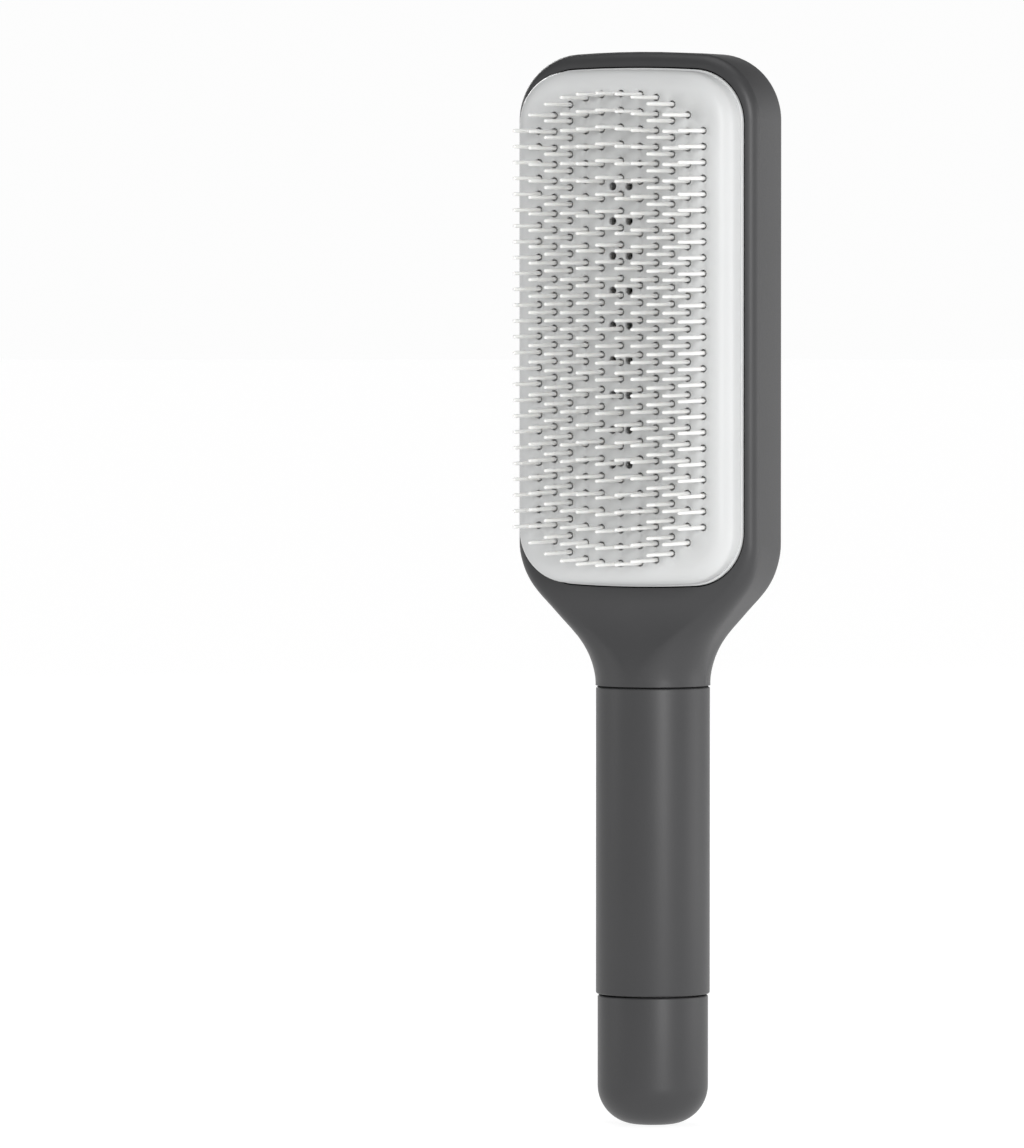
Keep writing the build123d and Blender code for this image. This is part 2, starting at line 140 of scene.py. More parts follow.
class BrushSizes(PropertyGroup):
    """Sizes of the forms that the frame holds only in plain shape."""

    pad_corner: length("Pad corner", "Corner radius of the pad's outline", 12.5)
    end_bow: length("End bow", "How far the ends of the pad bow outwards", 1.3)
    pad_rounding: length("Pad rounding", "Radius of the pad's front edge", 4.1)
    pad_wall: length("Pad wall", "Wall of the pad", 1.6)
    pad_lip: length("Pad lip", "Width and radius of the fine lip at the pad's foot", 0.4)
    lip_height: length("Lip height", "How far the lip stands out beyond the seal", 1.1)
    hole_radius: length("Hole radius", "Radius of the hole round each tooth", 0.88)
    vent_radius: length("Vent radius", "Radius of each vent", 0.95)
    mouth_chamfer: length("Mouth chamfer", "Chamfer at the mouth of each hole", 0.12)
    vent_place: length("Vent place", "Distance of the vents from the middle line", 2.07)
    vent_low: length("Lowest vent", "Height of the lowest pair of vents", 154.4)
    vent_pitch: length("Vent pitch", "Distance from one pair of vents to the next", 8.05)
    vent_count: IntProperty(name="Vents", description="Pairs of vents", default=9, min=0, max=12)
    tooth_root: length("Tooth root", "Radius of a tooth at the carrier", 0.56)
    tooth_neck: length("Tooth neck", "Radius of a tooth at the pad's face", 0.52)
    tooth_sides: IntProperty(name="Tooth sides", description="Sides of each tooth", default=8, min=3,
                             max=16)
    tooth_tip: length("Tooth tip", "Radius of the ball end of a tooth", 0.4)
    carrier_corner: length("Carrier corner", "Corner radius of the tooth carrier", 7.3)
    carrier_plate: length("Carrier plate", "Thickness of the tooth carrier", 2.0)
    carrier_gap: length("Carrier gap", "Distance from the pad's inside to the tooth carrier", 0.4)
    carrier_edge: length("Carrier edge", "Radius of the tooth carrier's edges", 0.3)
    vent_margin: length("Vent margin", "How far the carrier's openings clear the vents", 0.15)
    lug_thickness: length("Lug thickness", "Thickness of each lug behind the carrier", 1.9)
    lug_half_height: length("Lug half height", "Half the height of each lug", 3.0)
    lug_bow: length("Lug bow", "How far the ends of each lug bow outwards", 0.02)
    panel_corner: length("Panel corner", "Corner radius of the back panel", 12.0)
    panel_edge: length("Panel edge", "Radius of the back panel's edge", 0.45)
    knob_rounding: length("Knob rounding", "Radius of the handle's end", 9.2)
    knob_wall: length("Knob wall", "Wall of the knob", 2.0)
    knob_floor: length("Knob floor", "Thickness of the knob's end", 5.0)
    rim_rounding: length("Rim rounding", "Radius at the seams of the handle", 0.4)
    tube_wall: length("Tube wall", "Wall of the handle", 2.0)


class BrushColours(PropertyGroup):
    """Colours of the finishes."""

    soft_touch: colour("Soft-touch coat", "Coat on the head and handle", "3b3b3c")
    gloss_panel: colour("Back panel", "Glossy cover on the back", "c6c7c3")
    pad: colour("Pad", "Satin moulding round the teeth", "c4c5c5")
    tooth: colour("Teeth", "Nylon of the teeth", "e6e6e4")
    # The seal's near-black colour is partly painted shade: it stands in for the shadow in the gap round
    # the pad.
    seal: colour("Seal", "Rubber of the seals", "050505")
    acetal: colour("Acetal", "Slide, bush and washer", "dedcd2")
    core: colour("Core", "Glass-filled nylon of plug and hub", "1a1a1c")
    steel: colour("Steel", "Pins, plates, ball and spring", "b9babc")
    bronze: colour("Bronze", "Sintered bush", "a8834e")
    tape: colour("Tape", "Adhesive sheet", "e6e3d6")
    table: colour("Floor", "Back-lit acrylic of the table, which lets most light through", "7c7c7c")


class StageSettings(PropertyGroup):
    """Camera and lights."""

    azimuth: FloatProperty(name="Azimuth", description="Camera angle round the brush",
                           default=math.radians(24), subtype="ANGLE")
    elevation: FloatProperty(name="Elevation", description="Camera angle above the floor",
                             default=math.radians(2), subtype="ANGLE")
    distance: FloatProperty(name="Distance", description="Camera distance", default=2.5, unit="LENGTH")
    axis_pixel: FloatProperty(name="Axis column", description="Picture column of the handle's axis",
                              default=653)
    foot_pixel: FloatProperty(name="Foot row", description="Picture row of the handle's end",
                              default=1124.5)
    table_glow: FloatProperty(name="Table glow", description="Light that comes up through the table",
                              default=0.88, min=0)
    ceiling_light: FloatProperty(name="Ceiling light", description="Strength of the light from above",
                                 default=1.0, min=0)
    ceiling_spread: FloatProperty(name="Ceiling spread", description="Angle that the light comes from",
                                  default=math.radians(50), subtype="ANGLE")
    surround_light: FloatProperty(name="Surround", description="Strength of the surround at eye level",
                                  default=0.98, min=0)
    overhead_light: FloatProperty(name="Overhead", description="Strength of the surround overhead",
                                  default=0.05, min=0)
    pixel_size: length("Pixel size", "Width that one pixel covers at the brush", 0.2332)
    picture_width: IntProperty(name="Picture width", description="Pixels across", default=1024)
    picture_height: IntProperty(name="Picture height", description="Pixels down", default=1148)


def grid_faces(rows, columns, closed_rows=True, closed_columns=False):
    """Quads of a grid of points that is numbered row by row."""
    row_count = rows if closed_rows else rows - 1
    column_count = columns if closed_columns else columns - 1
    i, j = np.meshgrid(np.arange(row_count), np.arange(column_count), indexing="ij")
    next_i = (i + 1) % rows
    next_j = (j + 1) % columns
    corners = [i * columns + j, next_i * columns + j, next_i * columns + next_j, i * columns + next_j]
    return np.stack(corners, axis=-1).reshape(-1, 4)


def bowed_outline(half_width, low, high, corner, bow, corner_steps=14, end_steps=24, side_steps=30):
    """Points and outward normals of a closed outline in X and Z.

    Each end is an arc of radius (half width squared + bow squared) / (2 bow). Each side is straight.
    A corner arc touches both, so its centre lies one corner radius inside each of them.
    """
    big = (half_width**2 + bow**2) / (2 * bow)
    centre_x = half_width - corner
    rise = math.sqrt((big - corner) ** 2 - centre_x**2)
    turn = math.atan2(rise, centre_x)
    top = high - big + rise
    foot = low + big - rise
    arcs = (
        (centre_x, top, corner, 0, turn, corner_steps),
        (0, high - big, big, turn, math.pi - turn, end_steps),
        (-centre_x, top, corner, math.pi - turn, math.pi, corner_steps),
        (-half_width, (top, foot), 0, math.pi, math.pi, side_steps),
        (-centre_x, foot, corner, math.pi, math.pi + turn, corner_steps),
        (0, low + big, big, math.pi + turn, FULL_TURN - turn, end_steps),
        (centre_x, foot, corner, FULL_TURN - turn, FULL_TURN, corner_steps),
        (half_width, (foot, top), 0, 0, 0, side_steps),
    )
    points, normals = [], []
    for x, z, radius, start, end, steps in arcs:
        angle = np.linspace(start, end, steps, endpoint=False)
        normal = np.stack([np.cos(angle), np.sin(angle)], axis=1)
        ends = z if isinstance(z, tuple) else (z, z)
        centre = np.stack([np.full(steps, x), np.linspace(*ends, steps, endpoint=False)], axis=1)
        points.append(centre + radius * normal)
        normals.append(normal)
    return np.concatenate(points), np.concatenate(normals)


def arc(centre_inset, centre_depth, radius, start, end, steps):
    """Profile points (inset, depth) on an arc. Angle 0 points outwards and 90 degrees forwards."""
    angle = np.radians(np.linspace(start, end, steps))
    inset = centre_inset - radius * np.cos(angle)
    return np.stack([inset, centre_depth - radius * np.sin(angle)], axis=1)


def turned_arc(centre_radius, centre_height, radius, start, end, steps):
    """Profile points (radius, height) on an arc. Angle 0 points outwards and 90 degrees up."""
    angle = np.radians(np.linspace(start, end, steps))
    return np.stack([centre_radius + radius * np.cos(angle),
                     centre_height + radius * np.sin(angle)], axis=1)


def rim(points, normals, profile):
    """A profile carried round an outline: each point moves inwards by the profile's inset,
    and takes its depth along Y."""
    inset, depth = profile[:, 0], profile[:, 1]
    flat = points[:, None, :] - normals[:, None, :] * inset[None, :, None]
    y = np.broadcast_to(depth, flat.shape[:2])
    return np.stack([flat[..., 0], y, flat[..., 1]], axis=-1).reshape(-1, 3)


def lathe(profile):
    """A profile of (radius, height) turned round the Z axis: x is the radius times the cosine of the
    angle, and y the radius times its sine."""
    angle = np.linspace(0, FULL_TURN, ROUND_STEPS, endpoint=False)
    radius, height = profile[:, 0], profile[:, 1]
    x = np.cos(angle)[:, None] * radius
    y = np.sin(angle)[:, None] * radius
    z = np.broadcast_to(height, x.shape)
    return np.stack([x, y, z], axis=-1).reshape(-1, 3)


def joined(*parts):
    """Several (points, faces) pairs as one pair."""
    starts = np.cumsum([0] + [len(points) for points, _ in parts])
    faces = [np.add(face, start).tolist() for start, (_, some) in zip(starts, parts) for face in some]
    return np.concatenate([points for points, _ in parts]), faces


def make_piece(name, body, node, points, faces, material, smooth_angle=35):
    """A mesh object from points and faces that rides on a body and stands for a node."""
    mesh = bpy.data.meshes.new(name)
    mesh.from_pydata(np.asarray(points).tolist(), [], [list(face) for face in faces])
    work = bmesh.new()
    work.from_mesh(mesh)
    bmesh.ops.remove_doubles(work, verts=work.verts, dist=MERGE_DISTANCE)
    bmesh.ops.recalc_face_normals(work, faces=work.faces)
    work.to_mesh(mesh)
    work.free()
    mesh.shade_smooth()
    mesh.set_sharp_from_angle(angle=math.radians(smooth_angle))
    mesh.materials.append(material)
    piece = bpy.data.objects.new(name, mesh)
    bpy.context.scene.collection.objects.link(piece)
    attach(piece, body)
    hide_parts(node)
    return piece


def slot_of(node):
    """The record's material slot of a node."""
    return next(s["material_slot"] for s in frame["record"]["subparts"] if s["node"] == node)


def corners_of(node):
    """The corner points of a node's mesh."""
    mesh = frame["nodes"][node].data
    points = np.empty(len(mesh.vertices) * 3)
    mesh.vertices.foreach_get("co", points)
    return points.reshape(-1, 3)


def smoothed_copy(name, body, node, material, smooth_angle=30):
    """A merged and smoothly shaded copy of a node's own mesh."""
    faces = [list(polygon.vertices) for polygon in frame["nodes"][node].data.polygons]
    return make_piece(name, body, node, corners_of(node), faces, material, smooth_angle)


def tooth_places():
    """Each tooth's place in X and Z: the middle of the corners of each tip in the frame. The tips'
    corners lie within one thin layer, and those of one tip lie nearer than the space between teeth."""
    points = corners_of("tooth_carrier")
    tips = points[points[:, 1] < points[:, 1].min() + TIP_LAYER][:, [0, 2]]
    tips = np.unique(np.round(tips, 6), axis=0)
    near = np.linalg.norm(tips[:, None] - tips[None], axis=2) < TOOTH_SPACE
    middles = (near[..., None] * tips[None]).sum(axis=1) / near.sum(axis=1)[:, None]
    return np.unique(np.round(middles, 5), axis=0)


def pin_heights():
    """The heights of the follower pins: the middle of each group of corners that lie close in Z."""
    z = np.sort(corners_of("follower_pins")[:, 2])
    groups = np.split(z, np.where(np.diff(z) > PIN_SPACE)[0] + 1)
    return [float(group.min() + group.max()) / 2 for group in groups]


def vent_places(sizes):
    """Each vent's place in X and Z: pairs along the middle line."""
    heights = sizes.vent_low + sizes.vent_pitch * np.arange(sizes.vent_count)
    return np.array([(x, z) for z in heights for x in (-sizes.vent_place, sizes.vent_place)])


def circle(centre, radius, steps):
    """Points on a circle in X and Z."""
    angle = np.linspace(0, FULL_TURN, steps, endpoint=False)
    return centre + radius * np.stack([np.cos(angle), np.sin(angle)], axis=1)


def holed_plate(outer, holes, chamfer, front, back, steps=16):
    """A flat plate with round holes: triangles between the outline and the holes' mouths on each
    face, and between the faces each hole's wall with a chamfer at both ends. The triangulation fills
    the holes too, so the triangles whose middle lies inside a hole are left out."""
    loops = [outer] + [circle(centre, radius + chamfer, steps) for centre, radius in holes]
    starts = np.cumsum([0] + [len(loop) for loop in loops])
    edges = []
    for start, loop in zip(starts, loops):
        ring = start + np.arange(len(loop))
        edges += np.stack([ring, np.roll(ring, -1)], axis=1).tolist()
    flat = np.concatenate(loops)
    inside_only = 1
    made = delaunay_2d_cdt([Vector(p) for p in flat], edges, [], inside_only, FLAT_TOLERANCE)
    flat = np.array(made[0])
    triangles = np.array(made[2])
    middles = flat[triangles].mean(axis=1)
    keep = np.ones(len(triangles), bool)
    for centre, radius in holes:
        distance = np.linalg.norm(middles - centre, axis=1)
        keep &= distance > (radius + chamfer) * math.cos(math.pi / steps)
    triangles = triangles[keep]
    parts = [(np.insert(flat, 1, depth, axis=1), triangles) for depth in (front, back)]
    depths = (front, front + chamfer, back - chamfer, back)
    for centre, radius in holes:
        mouth, throat = circle(centre, radius + chamfer, steps), circle(centre, radius, steps)
        rings = [np.insert(ring, 1, depth, axis=1)
                 for ring, depth in zip((mouth, throat, throat, mouth), depths)]
        parts.append((np.stack(rings, axis=1).reshape(-1, 3), grid_faces(steps, len(depths))))
    return joined(*parts)


def slab(points, normals, front, back, edge, holes=()):
    """A flat plate with rounded edges and plain round holes."""
    profile = np.concatenate([
        arc(edge, front + edge, edge, 90, 0, FINE_STEPS),
        arc(edge, back - edge, edge, 0, -90, FINE_STEPS),
    ])
    sides = (rim(points, normals, profile), grid_faces(len(points), len(profile)))
    return joined(sides, holed_plate(points - normals * edge, holes, 0, front, back))


def add_node(tree, kind, settings=None, links=None):
    """Adds a node, with its properties or socket values, and links into its sockets."""
    node = tree.nodes.new(kind)
    for name, value in (settings or {}).items():
        if name in node.inputs:
            node.inputs[name].default_value = value
        else:
            setattr(node, name, value)
    for name, source in (links or {}).items():
        tree.links.new(source, node.inputs[name])
    return node


def new_material(name):
    """An empty material, with its tree and its shader."""
    material = bpy.data.materials.new(name)
    material.use_nodes = True
    tree = material.node_tree
    shader = tree.nodes["Principled BSDF"]
    return material, tree, shader


def set_sockets(shader, values):
    """Sets the values that are the same all over a surface."""
    for name, value in values.items():
        shader.inputs[name].default_value = value


def grain(tree, size, detail=2, stretch=(1, 1, 1)):
    """Noise whose grains are about the given size, in metres, and stretched along the axes."""
    place = add_node(tree, "ShaderNodeTexCoord")
    mapped = add_node(tree, "ShaderNodeMapping", {"Scale": stretch}, {"Vector": place.outputs["Object"]})
    return add_node(tree, "ShaderNodeTexNoise", {"Scale": 1 / size, "Detail": detail},
                    {"Vector": mapped.outputs["Vector"]})


def between(tree, value, low, high):
    """A noise value spread from low to high."""
    spread = add_node(tree, "ShaderNodeMapRange", {
        "From Min": NOISE_LOW, "From Max": NOISE_HIGH, "To Min": low, "To Max": high,
    }, {"Value": value})
    return spread.outputs["Result"]


def tinted(tree, value, colour_value, low, high):
    """A colour that a noise value darkens or lightens between two factors."""
    dark = [c * low for c in colour_value] + [1]
    light = [min(1, c * high) for c in colour_value] + [1]
    mix = add_node(tree, "ShaderNodeMix", {"data_type": "RGBA"})
    mix.inputs[MIX_DARK].default_value = dark
    mix.inputs[MIX_LIGHT].default_value = light
    tree.links.new(between(tree, value, 0, 1), mix.inputs[MIX_FACTOR])
    return mix.outputs[MIX_RESULT]


def texture(tree, shader, tone, colour_value, shades, fine, roughness, spread, strength, height):
    """Lets one noise shade the colour between two factors, and another move the roughness between
    two factors and raise the bump."""
    tree.links.new(tinted(tree, tone.outputs["Fac"], colour_value, *shades),
                   shader.inputs["Base Color"])
    tree.links.new(between(tree, fine.outputs["Fac"], *(roughness * factor for factor in spread)),
                   shader.inputs["Roughness"])
    bump = add_node(tree, "ShaderNodeBump", {"Strength": strength, "Distance": height},
                    {"Height": fine.outputs["Fac"]})
    tree.links.new(bump.outputs["Normal"], shader.inputs["Normal"])


def moulded(name, colour_value, roughness, grit, height, tint=0.03, specular=0.5, scatter=0.0,
            coat=0.0):
    """A moulded plastic: grit in its roughness and bump, and faint changes of colour as broad as the
    flow marks of a moulding. Real grit is often finer than a pixel, and is then drawn about a pixel
    wide or more, so that it shows."""
    material, tree, shader = new_material(name)
    texture(tree, shader, grain(tree, FLOW_MARK), colour_value, (1 - tint, 1 + tint),
            grain(tree, grit), roughness, GRIT_SPREAD, GRIT_BUMP, height)
    set_sockets(shader, {
        "IOR": PLASTIC_IOR, "Specular IOR Level": specular, "Subsurface Weight": scatter,
        "Subsurface Radius": LIGHT_REACH, "Subsurface Scale": 1.0,
        "Coat Weight": coat, "Coat Roughness": POLISHED_ROUGHNESS,
    })
    return material


def soft_touch_paint(colours):
    """Soft-touch polyurethane paint sprayed on ABS: a velvety grey with a broad, dull highlight. Its
    real grit is under 0.05 mm, and is drawn at 0.22 mm so that it shows."""
    return moulded("soft_touch_paint", colours.soft_touch, roughness=0.42, grit=0.22 * MM,
                   height=0.012 * MM, tint=0.035, specular=0.3)


def polished_abs(colours):
    """Pale ABS from a polished mould: clear reflections with the faint wave of a flat moulding, which
    is some 9 mm long."""
    return moulded("polished_abs", colours.gloss_panel, roughness=0.3, grit=9 * MM,
                   height=0.01 * MM, tint=0.01, specular=0.2, coat=1.0)


def satin_abs(colours):
    """White ABS from a finely blasted mould: an even satin with soft highlights. The blast's grit of
    about 0.05 mm is drawn at 0.3 mm so that it shows."""
    return moulded("satin_abs", colours.pad, roughness=0.42, grit=0.3 * MM, height=0.006 * MM,
                   tint=0.012, specular=0.35, scatter=0.08)


def moulded_nylon(colours):
    """White moulded nylon: slightly waxy, and light passes a little way in. Its faint waves are as
    wide as a tooth is round."""
    return moulded("moulded_nylon", colours.tooth, roughness=0.36, grit=0.5 * MM, height=0.006 * MM,
                   tint=0.01, scatter=0.15)


def rubber_as_painted_gap_shade(colours):
    """Black moulded rubber, dull and made near black as painted shade: the seal stands in for the shadow
    in the gap round the pad. Its bloom of about 0.02 mm is drawn at 0.15 mm so that it shows."""
    return moulded("rubber_as_painted_gap_shade", colours.seal, roughness=0.75, grit=0.15 * MM,
                   height=0.01 * MM, specular=0.15)


def natural_acetal(colours):
    """Natural acetal, moulded: milky, smooth and slightly greasy to the eye, with faint waves about
    half a millimetre long."""
    return moulded("natural_acetal", colours.acetal, roughness=0.3, grit=0.6 * MM,
                   height=0.005 * MM, scatter=0.1)


def glass_filled_nylon(colours):
    """Black glass-filled nylon: short fibres, 0.2 mm long, leave a fine, dry grain."""
    return moulded("glass_filled_nylon", colours.core, roughness=0.55, grit=0.18 * MM,
                   height=0.02 * MM, tint=0.12)


def adhesive_film(colours):
    """Adhesive film, coated on a web: cream, slightly tacky and dull, with coating waves of 1.5 mm."""
    return moulded("adhesive_film", colours.tape, roughness=0.5, grit=1.5 * MM, height=0.01 * MM)


def worked_metal(name, colour_value, roughness, line, stretch, height):
    """A metal with the tool's lines: fine noise drawn out along one axis. Real lines are some
    hundredths of a millimetre wide, and are drawn wider so that they show."""
    material, tree, shader = new_material(name)
    lines = grain(tree, line, detail=3, stretch=stretch)
    texture(tree, shader, lines, colour_value, LINE_SHADES, lines, roughness, LINE_SPREAD, LINE_BUMP,
            height)
    set_sockets(shader, {"Metallic": 1.0})
    return material


def ground_steel(colours):
    """Ground steel: fine lines round the pins and along the plates."""
    return worked_metal("ground_steel", colours.steel, 0.28, 0.25 * MM, (1, 1, 0.08), 0.004 * MM)


def turned_steel(colours):
    """Turned steel: fine rings round the shaft, so it is stretched across the axis."""
    return worked_metal("turned_steel", colours.steel, 0.32, 0.2 * MM, (0.06, 0.06, 1), 0.006 * MM)


def sintered_bronze(colours):
    """Sintered bronze: pressed powder with small dull pores of about 0.05 mm, drawn at 0.25 mm."""
    return worked_metal("sintered_bronze", colours.bronze, 0.45, 0.25 * MM, (1, 1, 1), 0.02 * MM)


FINISHES = {
    "soft_touch": soft_touch_paint,
    "gloss_panel": polished_abs,
    "tape": adhesive_film,
    "pad_white": satin_abs,
    # The seal's rubber is made near black as painted shade of the gap round the pad.
    "seal": rubber_as_painted_gap_shade,
    "tooth_white": moulded_nylon,
    "steel": ground_steel,
    "acetal": natural_acetal,
    "shaft_steel": turned_steel,
    "core_black": glass_filled_nylon,
    "brass_bush": sintered_bronze,
    "screw_steel": turned_steel,
}


def finish_of(slot):
    """The material of one of the record's slots, made once."""
    maker = FINISHES[slot]
    return bpy.data.materials.get(maker.__name__) or maker(bpy.context.scene.brush_colours)


class BRUSH_OT_inner_parts(Operator):
    """Gives every node of the frame its own finish"""

    bl_idname = "brush.inner_parts"
    bl_label = "Finish the frame's parts"

    def execute(self, context):
        for name, node in frame["nodes"].items():
            node.data.materials.clear()
            node.data.materials.append(finish_of(slot_of(name)))
        return {"FINISHED"}


class BRUSH_OT_shell(Operator):
    """Makes the soft-touch head, handle and knob"""

    bl_idname = "brush.shell"
    bl_label = "Make the head and handle"

    def execute(self, context):
        sizes = context.scene.brush_sizes
        paint = finish_of("soft_touch")
        smoothed_copy("head_shell", "root", "housing", paint)
        low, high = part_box("handle_tube")
        outer = high.x
        inner = outer - sizes.tube_wall
        edge = sizes.rim_rounding
        profile = np.concatenate([
            [(inner, low.z)],
            turned_arc(outer - edge, low.z + edge, edge, -90, 0, EDGE_STEPS),
            turned_arc(outer - edge, high.z - edge, edge, 0, 90, EDGE_STEPS),
            [(inner, high.z)],
        ])
        make_piece("handle_grip", "root", "handle_tube", lathe(profile),
                   grid_faces(ROUND_STEPS, len(profile), closed_columns=True), paint)
        low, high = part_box("knob_shell")
        outer = high.x
        inner = outer - sizes.knob_wall
        big = sizes.knob_rounding
        small = big - sizes.knob_wall
        profile = np.concatenate([
            [(0, low.z)],
            turned_arc(outer - big, low.z + big, big, -90, 0, KNOB_STEPS),
            turned_arc(outer - edge, high.z - edge, edge, 0, 90, EDGE_STEPS),
            [(inner, high.z)],
            turned_arc(inner - small, sizes.knob_floor + small, small, 0, -90, INNER_STEPS),
            [(0, sizes.knob_floor)],
        ])
        make_piece("knob_cap", "knob", "knob_shell", lathe(profile),
                   grid_faces(ROUND_STEPS, len(profile)), paint)
        return {"FINISHED"}


class BRUSH_OT_pad(Operator):
    """Makes the white pad with its holes and vents"""

    bl_idname = "brush.pad"
    bl_label = "Make the pad"

    def execute(self, context):
        sizes = context.scene.brush_sizes
        low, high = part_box("pad_cover")
        points, normals = bowed_outline(high.x, low.z, high.z, sizes.pad_corner, sizes.end_bow)
        big = sizes.pad_rounding
        wall = sizes.pad_wall
        lip = sizes.pad_lip
        lip_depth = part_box("pad_gasket")[0].y - sizes.lip_height
        turn_depth = low.y + big
        profile = np.concatenate([
            arc(big + lip, turn_depth, big, 90, 0, PAD_STEPS),
            [(lip, lip_depth)],
            arc(lip / 2, lip_depth + lip / 2, lip / 2, 90, 0, FINE_STEPS),
            [(0, high.y)],
            [(wall + lip, high.y)],
            arc(big + lip, turn_depth, big - wall, 0, 90, BEND_STEPS),
        ])
        edge = (rim(points, normals, profile), grid_faces(len(points), len(profile)))
        plateau = points - normals * (big + lip)
        holes = [(place, sizes.hole_radius) for place in tooth_places()]
        holes += [(place, sizes.vent_radius) for place in vent_places(sizes)]
        plate = holed_plate(plateau, holes, sizes.mouth_chamfer, low.y, low.y + wall)
        make_piece("pad_shell", "root", "pad_cover", *joined(edge, plate), finish_of("pad_white"), 50)
        return {"FINISHED"}


class BRUSH_OT_teeth(Operator):
    """Makes the tooth carrier with its round, ball-ended teeth"""

    bl_idname = "brush.teeth"
    bl_label = "Make the teeth"

    def execute(self, context):
        sizes = context.scene.brush_sizes
        low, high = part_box("tooth_carrier")
        pad_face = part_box("pad_cover")[0].y
        front = pad_face + sizes.pad_wall + sizes.carrier_gap
        back = front + sizes.carrier_plate
        strands = self.strands(sizes, front + sizes.carrier_edge, pad_face, low.y)
        outline = bowed_outline(high.x, low.z, high.z, sizes.carrier_corner, sizes.end_bow)
        holes = [(place, sizes.vent_radius + sizes.vent_margin) for place in vent_places(sizes)]
        plate = slab(*outline, front, back, sizes.carrier_edge, holes)
        lugs = [self.lug(sizes, side * high.x, height, back, high.y)
                for height in pin_heights() for side in (-1, 1)]
        make_piece("tooth_rack", "teeth", "tooth_carrier", *joined(strands, plate, *lugs),
                   finish_of("tooth_white"), 60)
        return {"FINISHED"}

    def strands(self, sizes, foot, pad_face, reach):
        """All teeth: rings of shrinking radius from the foot to the tip, closed by a ball end.

        The ball's rings lie at angles t, with radius r cos t and depth r sin t. The tooth is a little
        thicker than its ball where it has four ball radii left to the tip.
        """
        tip = sizes.tooth_tip
        ball = np.radians([0, 35, 65, 88])
        shank = [foot, pad_face, reach + 4 * tip]
        depths = np.concatenate([shank, reach + tip - tip * np.sin(ball)])
        radii = np.concatenate([[sizes.tooth_root, sizes.tooth_neck, 1.06 * tip], tip * np.cos(ball)])
        angle = np.linspace(0, FULL_TURN, sizes.tooth_sides, endpoint=False)
        x = np.cos(angle)[:, None] * radii
        z = np.sin(angle)[:, None] * radii
        y = np.broadcast_to(depths, x.shape)
        strand = np.stack([x, y, z], axis=-1).reshape(-1, 3)
        places = np.insert(tooth_places(), 1, 0, axis=1)
        points = (places[:, None] + strand).reshape(-1, 3)
        starts = np.arange(len(places))[:, None] * len(strand)
        sides = grid_faces(sizes.tooth_sides, len(radii)) + starts[..., None]
        foot_ring = starts + np.arange(sizes.tooth_sides)[::-1] * len(radii)
        tip_ring = starts + np.arange(sizes.tooth_sides) * len(radii) + len(radii) - 1
        return points, sides.reshape(-1, 4).tolist() + foot_ring.tolist() + tip_ring.tolist()

    def lug(self, sizes, edge, height, front, back):
        """The small block behind the plate that holds one follower pin."""
        half = sizes.lug_thickness / 2
        tall = sizes.lug_half_height
        middle = edge - math.copysign(half, edge)
        shape, normals = bowed_outline(half, height - tall, height + tall, 2 * sizes.carrier_edge,
                                       sizes.lug_bow, corner_steps=4, end_steps=4, side_steps=4)
        return slab(shape + (middle, 0), normals, front - sizes.carrier_gap, back, sizes.carrier_edge)


class BRUSH_OT_back_panel(Operator):
    """Makes the glossy back panel"""

    bl_idname = "brush.back_panel"
    bl_label = "Make the back panel"

    def execute(self, context):
        sizes = context.scene.brush_sizes
        low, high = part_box("back_panel")
        outline = bowed_outline(high.x, low.z, high.z, sizes.panel_corner, sizes.end_bow)
        points, faces = slab(*outline, low.y, high.y, sizes.panel_edge)
        make_piece("back_cover", "root", "back_panel", points, faces, finish_of("gloss_panel"), 30)
        return {"FINISHED"}


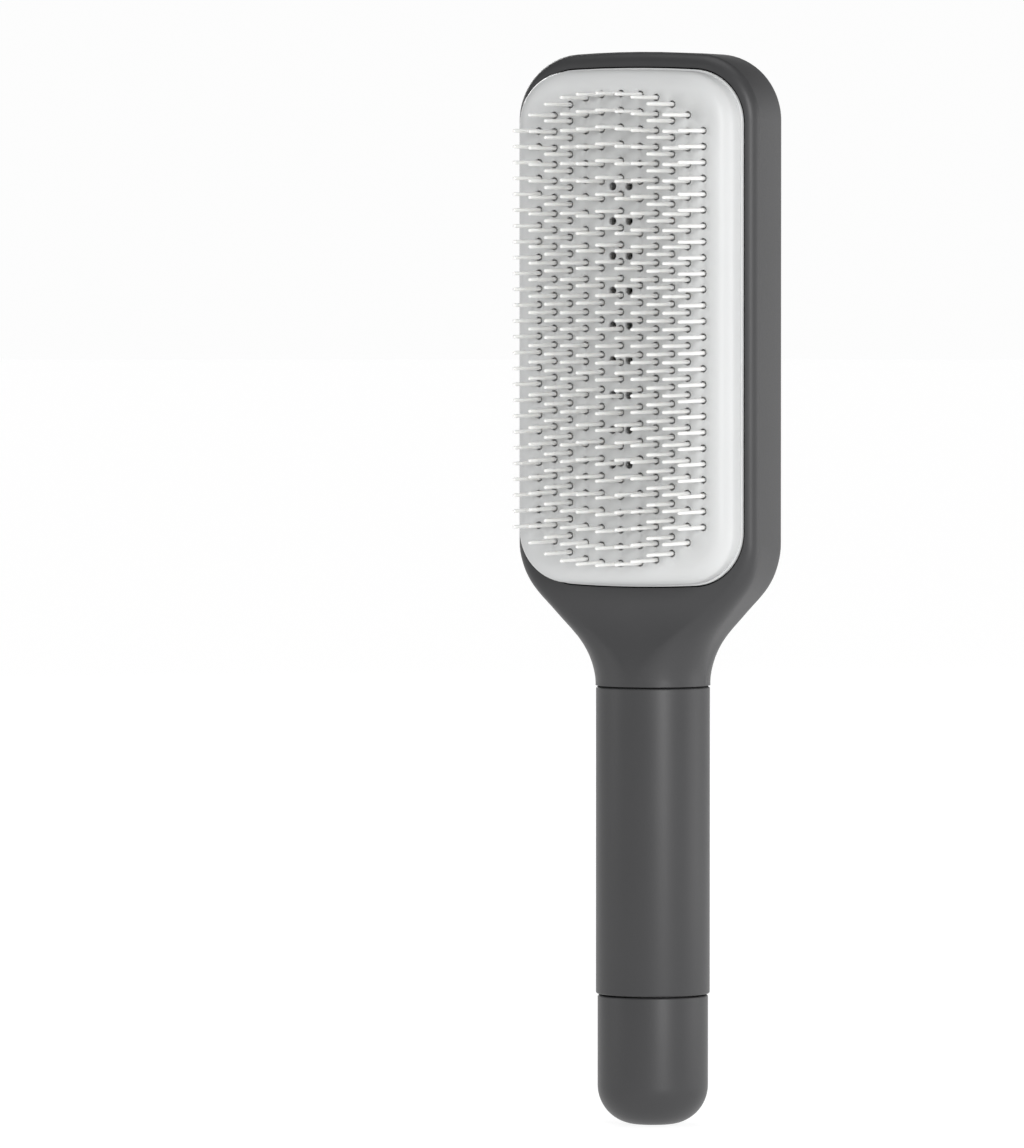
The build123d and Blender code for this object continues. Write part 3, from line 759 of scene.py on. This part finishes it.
class BRUSH_OT_stage(Operator):
    """Makes the floor, the lights and the camera"""

    bl_idname = "brush.stage"
    bl_label = "Make the stage"

    def execute(self, context):
        scene = context.scene
        scene.view_settings.view_transform = "Standard"
        settings = scene.brush_stage
        self.make_floor(scene, settings)
        self.make_world(scene, settings)
        for softbox in SOFTBOXES:
            self.make_softbox(scene, *softbox)
        self.make_overhead(scene, settings)
        self.make_camera(scene, settings)
        return {"FINISHED"}

    def make_softbox(self, scene, name, place, target, size, power):
        """A soft rectangular light that faces a point."""
        data = bpy.data.lights.new(name, "AREA")
        data.shape = "RECTANGLE"
        data.size, data.size_y = size
        data.energy = power
        lamp = bpy.data.objects.new(name, data)
        lamp.location = place
        lamp.rotation_euler = (Vector(target) - Vector(place)).to_track_quat("-Z", "Y").to_euler()
        scene.collection.objects.link(lamp)

    def make_overhead(self, scene, settings):
        """A wide, even light from straight above, as from a diffused ceiling."""
        data = bpy.data.lights.new("ceiling_light", "SUN")
        data.energy = settings.ceiling_light
        data.angle = settings.ceiling_spread
        scene.collection.objects.link(bpy.data.objects.new("ceiling_light", data))

    def make_floor(self, scene, settings):
        """A flat disc of back-lit white acrylic, level with the brush's end."""
        points = np.insert(circle((0, 0), FLOOR_RADIUS, FLOOR_SIDES), 2, 0, axis=1)
        mesh = bpy.data.meshes.new("studio_floor")
        mesh.from_pydata(points.tolist(), [], [list(range(FLOOR_SIDES))])
        floor = bpy.data.objects.new("studio_floor", mesh)
        material, tree, shader = new_material("backlit_acrylic")
        cloud = grain(tree, 400 * MM)
        tree.links.new(tinted(tree, cloud.outputs["Fac"], scene.brush_colours.table, 0.995, 1.005),
                       shader.inputs["Base Color"])
        set_sockets(shader, {
            "Roughness": 0.9, "Specular IOR Level": 0.2, "Emission Color": (1, 1, 1, 1),
            "Emission Strength": settings.table_glow,
        })
        mesh.materials.append(material)
        scene.collection.objects.link(floor)

    def make_world(self, scene, settings):
        """An even white surround that darkens overhead, as under a studio's ceiling."""
        world = bpy.data.worlds.new("studio")
        world.use_nodes = True
        tree = world.node_tree
        place = add_node(tree, "ShaderNodeTexCoord")
        split = add_node(tree, "ShaderNodeSeparateXYZ", links={"Vector": place.outputs["Generated"]})
        shade = add_node(tree, "ShaderNodeMapRange", {
            "From Min": DIM_FROM, "From Max": DIM_TO, "To Min": settings.surround_light,
            "To Max": settings.overhead_light,
        }, {"Value": split.outputs["Z"]})
        tree.links.new(shade.outputs["Result"], tree.nodes["Background"].inputs["Color"])
        scene.world = world

    def make_camera(self, scene, settings):
        """A long lens at the photograph's angle. The aim is set off the handle's axis so that the
        axis and the handle's end fall on their picture column and row."""
        azimuth, elevation = settings.azimuth, settings.elevation
        right = Vector((math.cos(azimuth), math.sin(azimuth), 0))
        towards = Vector((math.sin(azimuth) * math.cos(elevation),
                          -math.cos(azimuth) * math.cos(elevation), math.sin(elevation)))
        aside = (settings.axis_pixel - settings.picture_width / 2) * settings.pixel_size
        height = (settings.foot_pixel - settings.picture_height / 2) * settings.pixel_size
        aim = Vector((0, 0, height / math.cos(elevation))) - right * aside
        data = bpy.data.cameras.new("camera")
        data.sensor_fit = "VERTICAL"
        data.sensor_height = SENSOR_MM
        tall = settings.picture_height * settings.pixel_size
        data.lens = SENSOR_MM * settings.distance / tall
        data.clip_end = FAR_CLIP
        camera = bpy.data.objects.new("camera", data)
        camera.location = aim + towards * settings.distance
        camera.rotation_euler = (-towards).to_track_quat("-Z", "Y").to_euler()
        scene.collection.objects.link(camera)
        scene.camera = camera


class BRUSH_PT_panel(Panel):
    """Lists the brush's settings and steps"""

    bl_idname = "BRUSH_PT_panel"
    bl_label = "Styling brush"
    bl_space_type = "VIEW_3D"
    bl_region_type = "UI"
    bl_category = "Brush"

    def draw(self, context):
        """One box for each group of settings, and one button for each step."""
        layout = self.layout
        for group in (context.scene.brush_sizes, context.scene.brush_colours, context.scene.brush_stage):
            box = layout.box()
            for name in group.__annotations__:
                box.prop(group, name)
        for operator in OPERATORS:
            layout.operator(operator.bl_idname)


OPERATORS = (BRUSH_OT_inner_parts, BRUSH_OT_shell, BRUSH_OT_back_panel, BRUSH_OT_pad, BRUSH_OT_teeth,
             BRUSH_OT_stage)
GROUPS = (BrushSizes, BrushColours, StageSettings)


def register():
    """Adds the classes and the scene's settings to Blender."""
    for item in GROUPS + OPERATORS + (BRUSH_PT_panel,):
        bpy.utils.register_class(item)
    bpy.types.Scene.brush_sizes = PointerProperty(type=BrushSizes)
    bpy.types.Scene.brush_colours = PointerProperty(type=BrushColours)
    bpy.types.Scene.brush_stage = PointerProperty(type=StageSettings)


def unregister():
    """Takes the classes and the settings away again."""
    del bpy.types.Scene.brush_sizes
    del bpy.types.Scene.brush_colours
    del bpy.types.Scene.brush_stage
    for item in reversed(GROUPS + OPERATORS + (BRUSH_PT_panel,)):
        bpy.utils.unregister_class(item)


def main():
    """Registers the classes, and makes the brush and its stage."""
    register()
    bpy.ops.brush.inner_parts()
    bpy.ops.brush.shell()
    bpy.ops.brush.back_panel()
    bpy.ops.brush.pad()
    bpy.ops.brush.teeth()
    bpy.ops.brush.stage()


if __name__ == "__main__":
    main()
